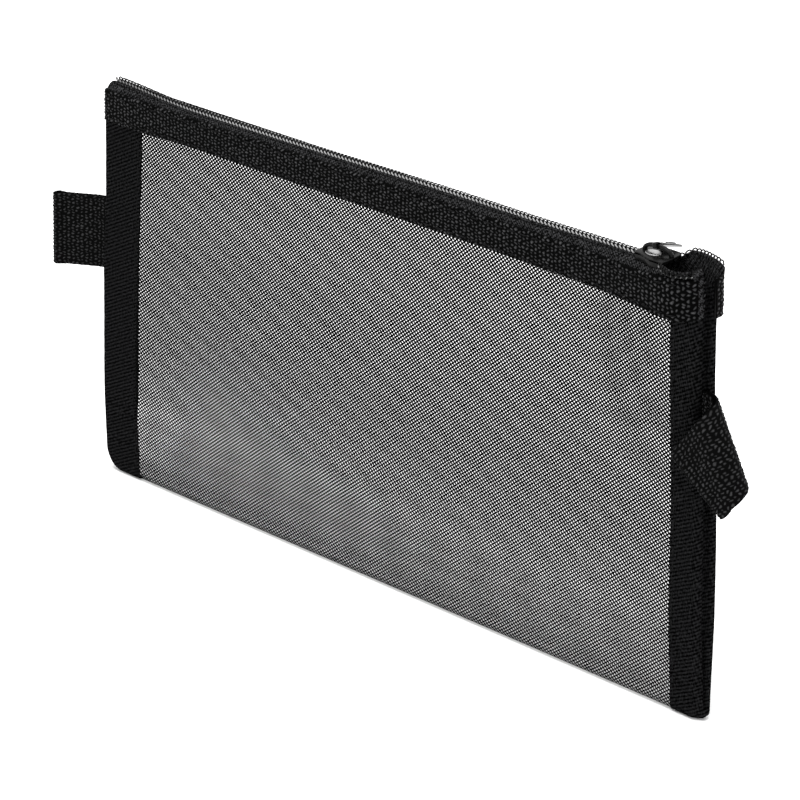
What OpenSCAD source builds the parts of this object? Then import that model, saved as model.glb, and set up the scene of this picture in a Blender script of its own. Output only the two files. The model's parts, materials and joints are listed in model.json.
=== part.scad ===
// Flat mesh pencil case with a coil zip along the top and a webbing loop on each side.
// The case stands upright: X runs along the zip, -Y is the front, +Z is up.
// The origin is the middle of the folded bottom edge.

/* [Case] */
// Width of the case body between its rolled side edges
case_w = 210; // [160:1:260]
// Height from the folded bottom to the top of the zip coil
case_h = 120; // [100:1:160]
// Thickness of the body over its front and back cloth
case_t = 7; // [6.6:0.1:10]
// Height over which the cloth curves in to the bottom fold
fold_h = 8; // [5:0.5:12]
// Width of the flat that the bottom fold stands on
base_flat = 2.4; // [1:0.1:3]
// Radius of the lower left corner seen from the front
left_corner_r = 6; // [2:0.5:8]
// Radius of the lower right corner seen from the front
right_corner_r = 3; // [2:0.5:8]

/* [Cloth] */
// Thickness of the net
net_t = 0.5; // [0.4:0.05:0.6]
// Thickness of the woven side strips
strip_t = 0.45; // [0.3:0.05:0.45]
// Width of the left side strip
left_strip_w = 16; // [10:0.5:18]
// Width of the right side strip
right_strip_w = 11; // [10:0.5:18]
// Number of openings across the net
net_cols = 12; // [6:1:12]
// Number of openings up the net
net_rows = 7; // [4:1:9]
// Width of net left between openings
net_rib = 4.6; // [2:0.2:6]
// Width of net that lies under each strip
overlap_w = 5; // [3:0.5:7]
// Depth of the solid rolled edge at each side
roll_w = 3.2; // [2.4:0.1:4]
// Half width of the groove between the front and back rolled edges
groove_half = 1.1; // [1.1:0.05:1.4]
// Thickness of the webbing bands along the top
band_t = 1; // [0.8:0.1:1.4]
// Height of the webbing bands
band_h = 8.5; // [8:0.5:10]
// Distance from the top of a band to the top of the zip
band_drop = 2.5; // [2.4:0.1:3]
// How far each band end stands past the body
band_over = 0.5; // [0:0.1:1]

/* [Zip] */
// Thickness of the zip tapes
tape_t = 0.5; // [0.4:0.05:0.6]
// Height of each coil above its tape
coil_h = 1.6; // [1.2:0.1:1.6]
// Distance between neighbouring teeth of one coil
tooth_pitch = 1.25; // [1.25:0.05:1.6]
// Place of the slider along the zip at rest
slider_x = 87; // [60:1:88]
// Length of the slider
slider_len = 10; // [9:0.5:12]
// Thickness of the two wings of the slider
wing_t = 0.7; // [0.6:0.05:0.8]
// Outer radius of the crown that holds the pull
crown_r = 4.4; // [4.2:0.1:4.6]
// Width of the crown
crown_w = 1.8; // [1.6:0.1:2]
// Length of the pull tab from its hinge line
pull_len = 9.5; // [9:0.5:25]
// Width of the pull tab
pull_w = 4.2; // [3.6:0.2:6]
// Thickness of the pull tab
pull_t = 0.8; // [0.6:0.1:0.8]
// Angle of the pull tab below level, pointing back
pull_droop = 17; // [0:1:20]

/* [Loops] */
// Width of the loop webbing
loop_w = 22.4; // [15:0.2:26]
// Thickness of one layer of loop webbing
loop_t = 0.9; // [0.7:0.05:0.9]
// Height of the middle of the left loop
left_loop_z = 73.2; // [50:0.2:80]
// Height of the middle of the right loop
right_loop_z = 77.8; // [50:0.2:80]
// Radius of the eye in the folded end of each loop
eye_r = 0.8; // [0.6:0.05:0.8]
// Length of the left loop from its bend line
left_loop_len = 15.5; // [12:0.5:24]
// Turn of the left loop towards the front
left_loop_turn = 30; // [0:1:60]
// Length of webbing past the bend line along the top edge of the right loop
right_loop_len = 20.7; // [20:0.1:28]
// Distance of the crease's upper end from the right bend line
crease_start = 0.2; // [0.2:0.1:4]
// Distance that the crease runs outwards over the width of the webbing
crease_run = 10.5; // [8:0.5:12]
// Distance from the front cloth to the middle of the folded flap
flap_gap = 1.7; // [1.5:0.1:3]

/* [Stitching] */
// Distance between stitches
stitch_pitch = 4; // [3:0.5:6]
// Length of a stitch
stitch_len = 2.6; // [1.5:0.1:2.8]
// Width of the sewing thread
stitch_w = 0.45; // [0.3:0.05:0.6]
// Thickness of a stitch
stitch_h = 0.2; // [0.1:0.05:0.3]

/* [Hidden] */
$fn = 48;

half_w = case_w / 2;
half_t = case_t / 2;
eps = 0.01;
clearance = 0.1;
// Extra length of a shape that cuts another
cut = 1;

// Layers of the top edge
band_top = case_h - band_drop;
band_bottom = band_top - band_h;
cloth_drop = 1;
cloth_top = band_top - cloth_drop;
tape_top = case_h - coil_h;
tape_hem = 7;
tape_bottom = cloth_top - tape_hem;
tape_y = half_t - net_t;
tape_edge = 1.35;
net_left = half_w - left_strip_w;
net_right = half_w - right_strip_w;
roll_x = half_w - roll_w;
fold_step = 15;

// Rows of stitches along a band, in channels that the thread pulls into the webbing
band_row_edge = 1.2;
band_rows = [band_bottom + band_row_edge, band_top - band_row_edge];
channel_w = stitch_w + 2 * clearance;

// Seam allowance inside each side, and the binding folded over it
seam_end = 1;
seam_below_band = 6;
seam_top = band_bottom - seam_below_band;
allowance_half = 0.4;
allowance_w = 5;
binding_half = 0.9;
binding_w = 4.6;
binding_fold = 0.6;

// Coil cross section, measured from the middle of one coil
coil_back = 0.9;
coil_root = 0.35;
coil_tip = 1.65;
coil_mesh = 0.45;
tooth_w = 0.55;
coil_end = half_w - 2;
coil_open_in_slider = 1.6;
coil_open_at_end = 2.55;
coil_open_x = slider_x - 3.5;
coil_open_run = 5.5;
coil_spread_x = slider_x + slider_len / 2;
coil_spread_run = 4;

// Slider heights
wing_gap = 0.15;
top_wing_z = case_h + wing_gap;
crown_base_z = top_wing_z + wing_t;
crown_sink = 1.35;
crown_mid_z = crown_base_z - crown_sink;
crown_t = 0.9;
hinge_z = crown_mid_z + crown_r - crown_t / 2;
flange_gap = 0.2;
flange_drop = coil_h - flange_gap;
bottom_wing_z = tape_top - tape_t - flange_gap - wing_t;
bottom_wing_half = tape_y - tape_t - wing_gap;
bottom_taper = 0.2;
tail_half = 2.9;
shoulder_half = 4.3;
flange_t = 0.5;
flange_cut = 1.2;
wing_corner = 0.6;
tail_len = 2;
neck_end = 6;
diamond_half = 0.6;
diamond_len = 1.8;
diamond_setback = 2.4;
pull_eye_r = 1.35;
pull_eye_w = 2.4;
pull_eye_wall = 0.8 * pull_t;
pull_neck = 2.6;

// Loops
layer_gap = 0.3;
loop_half_t = loop_t + layer_gap / 2;
eye_out_r = eye_r + loop_t;
bend_out = 1.5;
bend_x = half_w + bend_out;
left_loop_bottom = left_loop_z - loop_w / 2;
right_loop_top = right_loop_z + loop_w / 2;
right_loop_bottom = right_loop_z - loop_w / 2;
crease_a = [bend_x + crease_start, right_loop_top];
crease_b = [bend_x + crease_start + crease_run, right_loop_bottom];
crease_angle = atan2(crease_b[1] - crease_a[1], crease_b[0] - crease_a[0]);
crease_len = norm(crease_b - crease_a);
flap_dir = [cos(2 * crease_angle), sin(2 * crease_angle)];
flap_end_dir = [-flap_dir[1], flap_dir[0]];
flap_top = right_loop_len - crease_start;
flap_y = -(half_t + flap_gap);
flap_d = crease_a + flap_top * flap_dir;
flap_c = crease_b + (flap_top - crease_run) * flap_dir;

ink = "#17181a";
cloth_black = "#1d1e20";
net_grey = "#5c5e60";
thread_grey = "#34363a";
nickel = "#b9bbbd";

// Smooth step from 0 to 1 between two places
function ease(x, from, to) = let (u = min(1, max(0, (x - from) / (to - from)))) u * u * (3 - 2 * u);

// Distance that a coil has moved outwards from the closed chain at a place along the zip
function coil_shift(x) =
    coil_open_in_slider * ease(x, coil_open_x, coil_open_x + coil_open_run)
    + (coil_open_at_end - coil_open_in_slider) * ease(x, coil_spread_x, coil_spread_x + coil_spread_run);

// Place of the middle of a coil, outwards from the middle of the case
function coil_mid(x) = coil_tip - coil_mesh + coil_shift(x);

// One side of the folded cloth's section, from the leg down to the flat of the fold
function fold_curve(inset, side) = [
    for (a = [0:fold_step:90])
        let (y = base_flat / 2 + (half_t - base_flat / 2 - inset) * cos(a))
            [side * y, fold_h - (fold_h - inset) * sin(a)]
];

function backwards(points) = [for (i = [len(points) - 1:-1:0]) points[i]];

// Closed outline of the folded section, up to a height
function fold_outline(inset, top) = concat(
    [[-(half_t - inset), top]],
    fold_curve(inset, -1),
    backwards(fold_curve(inset, 1)),
    [[half_t - inset, top]]
);

// Draws a Y and Z outline along X
module along_x(x0, x1) {
    translate([x0, 0, 0]) rotate([90, 0, 90]) linear_extrude(x1 - x0) children();
}

// Draws an X and Z outline over a range of Y
module across_y(y0, y1) {
    translate([0, y1, 0]) rotate([90, 0, 0]) linear_extrude(y1 - y0) children();
}

// Sheet folded under the bottom, open at the top
module folded_sheet(x0, x1, inset, thick, top) {
    along_x(x0, x1) difference() {
        polygon(fold_outline(inset, top));
        polygon(fold_outline(inset + thick, top + cut));
    }
}

// Right edge of the net, under the side strip that starts at that place
module net_hem(edge) {
    folded_sheet(edge - net_t, edge + overlap_w, strip_t, net_t, tape_bottom - clearance);
}

// Coarse grid of openings that stands for the fine holes of the net
module net_openings() {
    col_w = (net_left + net_right) / net_cols;
    row_h = (band_bottom - fold_h) / net_rows;
    across_y(-half_t - cut, half_t + cut)
        for (i = [0:net_cols - 1])
            for (j = [0:net_rows - 1])
                translate([-net_left + (i + 0.5) * col_w, fold_h + (j + 0.5) * row_h])
                    square([col_w - net_rib, row_h - net_rib], center = true);
}

module mesh_body() {
    color(net_grey) difference() {
        union() {
            folded_sheet(-net_left, net_right, 0, net_t, cloth_top);
            net_hem(net_right);
            mirror([1, 0, 0]) net_hem(net_left);
        }
        net_openings();
    }
}

// Front outline of the case with round lower corners
module case_front(corner) {
    translate([-half_w, corner]) square([case_w, case_h - corner]);
    translate([-half_w + corner, 0]) square([case_w - 2 * corner, case_h]);
    for (x = [-1, 1])
        translate([x * (half_w - corner), corner]) circle(corner);
}

// Right side strip from the edge of the net: folded sheet, rolled edge in steps, groove, and seam allowance
// Each step has its start and end as a share of the rolled edge, then its inset
module side_strip(net_edge, corner) {
    roll_steps = [[0, 0.5, 0], [0.5, 0.82, 0.3], [0.82, 1, 0.9]];
    groove_depth = 2.6;
    intersection() {
        difference() {
            union() {
                folded_sheet(net_edge, roll_x + eps, 0, strip_t, cloth_top);
                for (s = roll_steps)
                    along_x(roll_x + s[0] * roll_w, roll_x + s[1] * roll_w)
                        polygon(fold_outline(s[2], cloth_top));
            }
            translate([half_w - groove_depth, -groove_half, fold_h])
                cube([groove_depth + cut, 2 * groove_half, case_h]);
        }
        across_y(-half_t - cut, half_t + cut) case_front(corner);
    }
    translate([roll_x - allowance_w, -allowance_half, fold_h])
        cube([allowance_w + eps, 2 * allowance_half, seam_top - fold_h]);
}

module left_side_strip() {
    color(cloth_black) mirror([1, 0, 0]) side_strip(net_left, left_corner_r);
}

module right_side_strip() {
    color(cloth_black) side_strip(net_right, right_corner_r);
}

// Front band with a channel for each row of stitches
module top_band() {
    band_len = case_w + 2 * band_over;
    face_y = -half_t - band_t;
    difference() {
        translate([-band_len / 2, face_y, band_bottom]) cube([band_len, band_t, band_h]);
        for (z = band_rows)
            translate([-band_len / 2 - cut, face_y - cut, z - channel_w / 2])
                cube([band_len + 2 * cut, cut + stitch_h, channel_w]);
    }
}

module front_top_band() {
    color(ink) top_band();
}

module back_top_band() {
    color(ink) mirror([0, 1, 0]) top_band();
}

// Tape: a hem inside the front cloth, and a ledge under the closed part of the chain
module zip_tape() {
    tape_end = roll_x - clearance;
    translate([-tape_end, -tape_y, tape_bottom]) cube([2 * tape_end, tape_t, tape_top - tape_bottom]);
    translate([-tape_end, -tape_y, tape_top - tape_t])
        cube([tape_end + slider_x + slider_len / 4, tape_y - tape_edge, tape_t]);
}

module front_zip_tape() {
    color(cloth_black) zip_tape();
}

module back_zip_tape() {
    color(cloth_black) mirror([0, 1, 0]) zip_tape();
}

// Coil of the front tape as a toothed ribbon; phase moves the teeth along by part of a pitch
module zip_coil(phase) {
    count = floor((2 * coil_end - tooth_pitch) / tooth_pitch);
    bend_step = 1;
    bend_count = 14;
    teeth = [
        for (i = [0:count - 1])
            let (x = -coil_end + (i + phase) * tooth_pitch, end = x + tooth_w)
                each [
                    [x, coil_root - coil_mid(x)],
                    [x, coil_tip - coil_mid(x)],
                    [end, coil_tip - coil_mid(end)],
                    [end, coil_root - coil_mid(end)]
                ]
    ];
    bends = [for (i = [bend_count:-1:0]) let (x = coil_open_x + i * bend_step) [x, -coil_back - coil_mid(x)]];
    back_edge = concat(
        [[coil_end, coil_root - coil_mid(coil_end)], [coil_end, -coil_back - coil_mid(coil_end)]],
        bends,
        [[-coil_end, -coil_back - coil_mid(-coil_end)], [-coil_end, coil_root - coil_mid(-coil_end)]]
    );
    translate([0, 0, tape_top]) linear_extrude(coil_h) polygon(concat(teeth, back_edge));
}

module front_zip_coil() {
    color(ink) zip_coil(0.1);
}

module back_zip_coil() {
    color(ink) mirror([0, 1, 0]) zip_coil(0.6);
}

// Plan of a slider wing: narrow tail on the closed side, wide shoulders on the open side
function wing_plan(tail, shoulder) = let (l = slider_len / 2, c = wing_corner) [
    [-l, -tail + c], [-l + c, -tail], [-l + tail_len, -tail], [-l + neck_end, -shoulder],
    [l - c, -shoulder], [l, -shoulder + c], [l, shoulder - c], [l - c, shoulder],
    [-l + neck_end, shoulder], [-l + tail_len, tail], [-l + c, tail], [-l, tail - c]
];

module slider_body() {
    inner_tail = tail_half - flange_t;
    inner_shoulder = shoulder_half - flange_t;
    color(ink) translate([slider_x, 0, 0]) {
        translate([0, 0, top_wing_z]) linear_extrude(wing_t) polygon(wing_plan(tail_half, shoulder_half));
        translate([0, 0, top_wing_z - flange_drop]) linear_extrude(flange_drop + eps) difference() {
            polygon(wing_plan(tail_half, shoulder_half));
            scale([flange_cut, 1]) polygon(wing_plan(inner_tail, inner_shoulder));
        }
        translate([0, 0, bottom_wing_z]) linear_extrude(wing_t)
            polygon(wing_plan(bottom_wing_half - bottom_taper, bottom_wing_half));
        translate([slider_len / 2 - diamond_setback, -diamond_half, bottom_wing_z])
            cube([diamond_len, 2 * diamond_half, top_wing_z - bottom_wing_z + eps]);
    }
}

module slider_crown() {
    color(ink) translate([slider_x, 0, 0]) across_y(-crown_w / 2, crown_w / 2) intersection() {
        translate([0, crown_mid_z]) difference() {
            circle(crown_r);
            circle(crown_r - crown_t);
        }
        translate([-crown_r, crown_base_z]) square([2 * crown_r, crown_r]);
    }
}

// Pull tab: an eye rolled round the crown and a flat blade with a rounded end
module pull_tab() {
    end_r = pull_w / 2;
    blade_len = pull_len - end_r;
    color(nickel) translate([slider_x, 0, hinge_z]) rotate([-pull_droop, 0, 0]) {
        difference() {
            union() {
                rotate([0, 90, 0]) cylinder(r = pull_eye_r + pull_eye_wall, h = pull_eye_w, center = true);
                translate([-pull_eye_w / 2, 0, -pull_t / 2]) cube([pull_eye_w, blade_len, pull_t]);
            }
            rotate([0, 90, 0]) cylinder(r = pull_eye_r, h = pull_eye_w + cut, center = true);
        }
        translate([-end_r, pull_neck, -pull_t / 2]) cube([pull_w, blade_len - pull_neck, pull_t]);
        translate([0, blade_len, -pull_t / 2]) cylinder(r = end_r, h = pull_t);
    }
}

// End of a loop that is sewn into the groove of the right side seam
module loop_root(bottom) {
    root_in = 2.5;
    translate([half_w - root_in, -loop_half_t, bottom])
        cube([root_in + bend_x - half_w - loop_half_t - clearance, 2 * loop_half_t, loop_w]);
}

module left_loop_root() {
    color(ink) mirror([1, 0, 0]) loop_root(left_loop_bottom);
}

module right_loop_root() {
    color(ink) loop_root(right_loop_bottom);
}

// Plan of a folded webbing end: two layers from the bend line to an eye
module loop_plan(length) {
    difference() {
        union() {
            circle(loop_half_t);
            translate([0, -loop_half_t]) square([length - eye_out_r, 2 * loop_half_t]);
            translate([length - eye_out_r, 0]) circle(eye_out_r);
        }
        translate([length - eye_out_r, 0]) circle(eye_r);
        translate([loop_half_t, -layer_gap / 2]) square([length - eye_out_r - loop_half_t, layer_gap]);
    }
}

module left_loop() {
    color(ink) translate([-bend_x, 0, left_loop_bottom]) rotate([0, 0, 180 + left_loop_turn])
        linear_extrude(loop_w) loop_plan(left_loop_len);
}

// Right loop: comes out of the seam, folds forwards along a slanted crease and hangs over the front
module right_loop() {
    bend_r = -flap_y / 2;
    eye_y = flap_y - (eye_out_r - loop_half_t);
    inner_c = flap_c - eye_out_r * flap_dir;
    inner_d = flap_d - eye_out_r * flap_dir;
    eye_mid = (inner_c + inner_d) / 2;
    eye_len = norm(inner_d - inner_c);
    color(ink) {
        translate([bend_x, 0, right_loop_bottom]) cylinder(r = loop_half_t, h = loop_w);
        across_y(-loop_half_t, loop_half_t)
            polygon([[bend_x, right_loop_top], crease_a, crease_b, [bend_x, right_loop_bottom]]);
        difference() {
            union() {
                across_y(flap_y - loop_half_t, flap_y + loop_half_t)
                    polygon([crease_a, crease_b, inner_c, inner_d]);
                flap_eye(eye_mid, eye_y, eye_len) circle(eye_out_r);
            }
            flap_eye(eye_mid, eye_y, eye_len + cut) circle(eye_r);
        }
        translate([crease_a[0], -bend_r, crease_a[1]]) rotate([0, -crease_angle, 0]) rotate([0, 90, 0])
            translate([0, 0, -clearance]) linear_extrude(crease_len + 2 * clearance) intersection() {
                difference() {
                    circle(bend_r + loop_half_t);
                    circle(bend_r - loop_half_t);
                }
                translate([-2 * bend_r, -2 * bend_r]) square([2 * bend_r + clearance, 4 * bend_r]);
            }
    }
}

// Draws an outline along the folded end of the right loop
module flap_eye(middle, y, length) {
    translate([middle[0], y, middle[1]]) rotate([0, 90 - atan2(flap_end_dir[1], flap_end_dir[0]), 0])
        linear_extrude(length, center = true) children();
}

// Binding tape folded over the raw edges of the right side seam
module seam_binding() {
    binding_x = roll_x - allowance_w - binding_fold;
    binding_len = seam_top - fold_h - seam_end;
    translate([0, 0, fold_h + seam_end / 2]) linear_extrude(binding_len) difference() {
        translate([binding_x, -binding_half]) square([binding_w, 2 * binding_half]);
        translate([binding_x + binding_fold, -allowance_half]) square([binding_w, 2 * allowance_half]);
    }
}

module left_seam_binding() {
    color(cloth_black) mirror([1, 0, 0]) seam_binding();
}

module right_seam_binding() {
    color(cloth_black) seam_binding();
}

// Rows of stitches along the upper and lower edges of the front band
module band_stitching() {
    row_end = 2;
    row_half = half_w - row_end;
    for (z = band_rows)
        for (x = [-row_half:stitch_pitch:row_half - stitch_len])
            translate([x, -half_t - band_t, z - stitch_w / 2]) cube([stitch_len, stitch_h, stitch_w]);
}

module front_band_stitching() {
    color(thread_grey) band_stitching();
}

module back_band_stitching() {
    color(thread_grey) mirror([0, 1, 0]) band_stitching();
}

// Upright row of stitches on the outside of a face at a distance from the middle
module upright_row(x, face, z0, z1) {
    for (side = [0, 1])
        mirror([0, side, 0])
            for (z = [z0:stitch_pitch:z1 - stitch_len])
                translate([x - stitch_w / 2, -face - stitch_h, z]) cube([stitch_w, stitch_h, stitch_len]);
}

module strip_stitching(net_edge) {
    row_in = 1;
    upright_row(net_edge + row_in, half_t, fold_h + row_in, band_bottom - row_in / 2);
}

module left_strip_stitching() {
    color(thread_grey) mirror([1, 0, 0]) strip_stitching(net_left);
}

module right_strip_stitching() {
    color(thread_grey) strip_stitching(net_right);
}

module seam_stitching() {
    row_end = 3;
    upright_row(roll_x - allowance_w / 2, binding_half, fold_h + row_end, seam_top - row_end);
}

module left_seam_stitching() {
    color(thread_grey) mirror([1, 0, 0]) seam_stitching();
}

module right_seam_stitching() {
    color(thread_grey) seam_stitching();
}

mesh_body();
left_side_strip();
right_side_strip();
front_top_band();
back_top_band();
front_zip_tape();
back_zip_tape();
front_zip_coil();
back_zip_coil();
slider_body();
slider_crown();
pull_tab();
left_loop_root();
right_loop_root();
left_loop();
right_loop();
left_seam_binding();
right_seam_binding();
front_band_stitching();
back_band_stitching();
left_strip_stitching();
right_strip_stitching();
left_seam_stitching();
right_seam_stitching();
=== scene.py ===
"""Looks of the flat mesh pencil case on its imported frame: net, cloth, webbing, zip, light and camera."""

import json
import math

import bmesh
import bpy
import numpy as np
from mathutils import Euler, Matrix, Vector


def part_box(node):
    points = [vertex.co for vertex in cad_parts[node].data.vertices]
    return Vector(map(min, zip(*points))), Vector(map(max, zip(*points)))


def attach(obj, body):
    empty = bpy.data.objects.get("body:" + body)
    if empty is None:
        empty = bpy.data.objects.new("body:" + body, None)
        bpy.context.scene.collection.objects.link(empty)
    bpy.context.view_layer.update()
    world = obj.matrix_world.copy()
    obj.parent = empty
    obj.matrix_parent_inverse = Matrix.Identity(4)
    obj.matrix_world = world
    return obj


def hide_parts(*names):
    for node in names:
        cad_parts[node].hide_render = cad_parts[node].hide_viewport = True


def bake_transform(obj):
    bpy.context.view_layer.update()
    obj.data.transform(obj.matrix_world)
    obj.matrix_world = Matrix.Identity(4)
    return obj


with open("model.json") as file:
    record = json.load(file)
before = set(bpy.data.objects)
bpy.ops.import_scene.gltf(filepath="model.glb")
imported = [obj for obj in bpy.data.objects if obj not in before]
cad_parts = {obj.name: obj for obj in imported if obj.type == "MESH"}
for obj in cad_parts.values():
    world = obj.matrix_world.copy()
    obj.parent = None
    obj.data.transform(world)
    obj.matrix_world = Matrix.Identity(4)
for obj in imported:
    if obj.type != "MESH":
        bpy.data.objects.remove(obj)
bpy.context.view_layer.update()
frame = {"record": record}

# Sizes are in millimetres, and become metres when a piece is made.
MM = 0.001
rng = np.random.default_rng(11)


def box_mm(node):
    """Lowest and highest corner of a CAD node, in millimetres."""
    low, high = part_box(node)
    return np.array(low) / MM, np.array(high) / MM


net_high = box_mm("mesh_body")[1]
left_high = box_mm("left_side_strip")[1]
right_low, right_high = box_mm("right_side_strip")
band_low, band_high = box_mm("front_top_band")
tape_low, tape_high = box_mm("front_zip_tape")
coil_low = box_mm("front_zip_coil")[0]
slider_low, slider_high = box_mm("slider_body")
crown_low, crown_high = box_mm("slider_crown")
left_loop_low, left_loop_high = box_mm("left_loop")
right_root_low, right_root_high = box_mm("right_loop_root")
joints = frame["record"]["behaviour"]["joints"]
joint_at = {joint["name"]: np.array(joint["pos_m"]) / MM for joint in joints if "pos_m" in joint}

# A side is -1 at the front or the left, and 1 at the back or the right
FACE_NAME = {-1: "front", 1: "back"}
END_NAME = {-1: "left", 1: "right"}

HALF_W = right_high[0]
HALF_T = net_high[1]
CLOTH_TOP = net_high[2]
SLIDER_X = (slider_low[0] + slider_high[0]) / 2
SLIDER_HALF = (slider_high[0] - slider_low[0]) / 2

# Inner edges of the side strips: distance from the middle on the front and the back, and lean towards the top
STRIP_X = {-1: -left_high[0] + 2.3, 1: right_low[0] + 1.4}
BACK_STRIP_X = {-1: STRIP_X[-1] + 6.0, 1: STRIP_X[1]}
STRIP_LEAN = {-1: 2.5, 1: -0.4}
LEAN_Z = (35.0, 115.0)

# Bottom fold of the cloth
FOLD_H = 3.0
BASE_FLAT = 2.4
FOLD_FULLNESS = 0.65
BASE_SLIM = 0.4
SLIM_H = 30.0

# Lower corners of the strips, and how far their outer edges are drawn in
CORNER_R = {-1: 7.0, 1: 1.2}
LEFT_IN = 0.35
LEFT_WAIST = 0.95
LEFT_WAIST_Z = (64.0, 84.0)
RIGHT_WAIST = 1.4
RIGHT_WAIST_Z = (45.0, 95.0)
FRONT_TUCK = 1.6

# The soft case is a little wider at its bottom than at its top: share of the width per millimetre of height
TAPER = 0.00035
TAPER_Z = (left_loop_low[2] + left_loop_high[2]) / 2

# The zip is open at its right end, where the top edges spread and then meet the side seam.
MOUTH_START = 66.0
MOUTH_WIDEST = 95.0
MOUTH_OPEN = 2.2
MOUTH_PINCH = 0.7
MOUTH_LOW = 50.0

# Bands: droop of the lower edge at its left end, sag and dip towards the mouth, and rise of the top edges
BAND_H = band_high[2] - band_low[2]
BAND_ROW_EDGE = 1.2
BAND_EDGE_UP = 0.2
BAND_LEFT_DROOP = 0.7
BAND_LEFT_DROOP_X = (-95.0, -50.0)
BAND_SAG = 0.5
BAND_SAG_X = (30.0, 58.0)
BAND_DIP = 0.9
BAND_DIP_X = (80.0, 96.0)
BAND_DIP_RETURN = 1.5
BAND_DIP_RETURN_X = (97.0, HALF_W)
BAND_RISE = 1.7
BAND_OUT = -band_low[1]
BAND_T = BAND_OUT - HALF_T
BAND_TURN = 2.4
BAND_TAIL = {-1: 1.0, 1: 2.0}
BAND_LEFT = band_low[0] + 1.6
BAND_RIGHT = {-1: band_high[0] - 2.7, 1: band_high[0] + 0.4}

# Net
NET_FADE_Z = 0.19
FOLD_THREAD = 0.4
NET_SPACING_X = 1.24
NET_LAYER = 0.17
# Slant, depth in the sheet and radius of the two families of net threads
NET_THREADS = ((0.95, NET_LAYER, 0.207), (-1.146, 3 * NET_LAYER, 0.246))
BACK_THREAD_R = 0.025
BACK_SPACING = 0.6

# Webbing: places of its grains, and their size
GRAIN_PITCH_U = 1.3
GRAIN_PITCH_V = 0.95
GRAIN_HALF_U = 0.5
GRAIN_HALF_V = 0.34
GRAIN_SLANT = 0.3
GRAIN_STRAY = 0.25
GRAIN_H = 0.22
WEB_STEP = 0.15

# Line of the zip: height of its left end, fall, and rises at the middle and the slider
SWAY_LEFT = 1.62
SWAY_LEFT_X = (-104.0, -72.0)
SWAY_FALL = 0.52
SWAY_MIDDLE = 1.03
SWAY_MIDDLE_X = (-65.0, 35.0)
SWAY_RIGHT = 0.35
SWAY_RIGHT_X = (45.0, SLIDER_X - 7)

# Zip tapes, and the distances past the slider's middle between which each turns upright
TAPE_T = 0.5
TAPE_TURN = 0.8
ZIP_END = {-1: HALF_W - 1.8, 1: HALF_W + 0.4}
OPENING = {-1: (1.0, 9.0), 1: (3.0, 7.0)}
LIP_DROP = 1.3

# Coils: wire, start as a share of the pitch, distance off the tape, and the teeth where the zip is open
TOOTH_PITCH = 1.25
COIL_WIRE_R = 0.2
COIL_MID = 0.75
COIL_IN_SLIDER = 1.6
COIL_TURN_POINTS = 12
COIL_LEAD = 0.2
COIL_START = {-1: 0.1, 1: 0.6}
COIL_OUT = {-1: 0.3, 1: 0.45}
TEETH_SUNK = {-1: 0.9, 1: 0.4}
TEETH_LONGER = {-1: 0.45, 1: 0.13}

# Stitches
STITCH_PITCH = 4.0
STITCH_LENGTH = 2.6
STITCH_R = 0.2


def ease(x, start, end):
    """Smooth step from 0 to 1 between two places."""
    u = np.clip((np.asarray(x, float) - start) / (end - start), 0, 1)
    return u * u * (3 - 2 * u)


def mouth(x):
    """How far each top edge stands out from its straight line, at a place along the zip."""
    spread = MOUTH_OPEN * ease(x, MOUTH_START, MOUTH_WIDEST)
    closing = ease(x, MOUTH_WIDEST, HALF_W + 1)
    return spread * (1 - closing) - MOUTH_PINCH * closing


def low_edge(x):
    """Height of a band's lower edge at a place along the zip."""
    droop = BAND_LEFT_DROOP * (1 - ease(x, *BAND_LEFT_DROOP_X)) + BAND_SAG * ease(x, *BAND_SAG_X)
    dip = BAND_DIP * ease(x, *BAND_DIP_X) * (1 - BAND_DIP_RETURN * ease(x, *BAND_DIP_RETURN_X))
    return band_low[2] + BAND_EDGE_UP - droop - dip


def rise(x):
    """How far the top edges stand up at the open end of the zip."""
    return BAND_RISE * ease(x, SLIDER_X - 7, HALF_W - 1)


def sway(x):
    """Rise and fall of the zip's line: highest at its left end and at the slider."""
    left = SWAY_LEFT * (1 - ease(x, *SWAY_LEFT_X))
    return left - SWAY_FALL + SWAY_MIDDLE * ease(x, *SWAY_MIDDLE_X) + SWAY_RIGHT * ease(x, *SWAY_RIGHT_X)


def unit(v):
    """Vectors scaled to length 1."""
    return v / np.linalg.norm(v, axis=-1, keepdims=True)


# Mesh helpers


def grid_faces(rows, cols, wrap_rows=False, wrap_cols=False):
    """Quads of a grid of points, row by row."""
    i = np.arange(rows if wrap_rows else rows - 1)
    j = np.arange(cols if wrap_cols else cols - 1)
    i, j = np.meshgrid(i, j, indexing="ij")
    i, j = i.ravel(), j.ravel()
    ni, nj = (i + 1) % rows, (j + 1) % cols
    return np.stack([i * cols + j, i * cols + nj, ni * cols + nj, ni * cols + j], axis=1).tolist()


def tube_faces(rows, cols):
    """Faces of a row of rings, with a cap on the first and the last."""
    last = (rows - 1) * cols
    caps = [list(range(cols)), list(range(last, last + cols))[::-1]]
    return grid_faces(rows, cols, wrap_cols=True) + caps


def lengths_along(line):
    """Distance from the first point of a line to each of its points."""
    return np.concatenate([[0], np.cumsum(np.linalg.norm(np.diff(line, axis=0), axis=1))])


def edge_rounding(to_edge, radius):
    """How far a face falls back near an edge that is rounded with that radius."""
    return radius - np.sqrt(np.maximum(radius**2 - np.clip(radius - to_edge, 0, radius) ** 2, 0))


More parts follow.
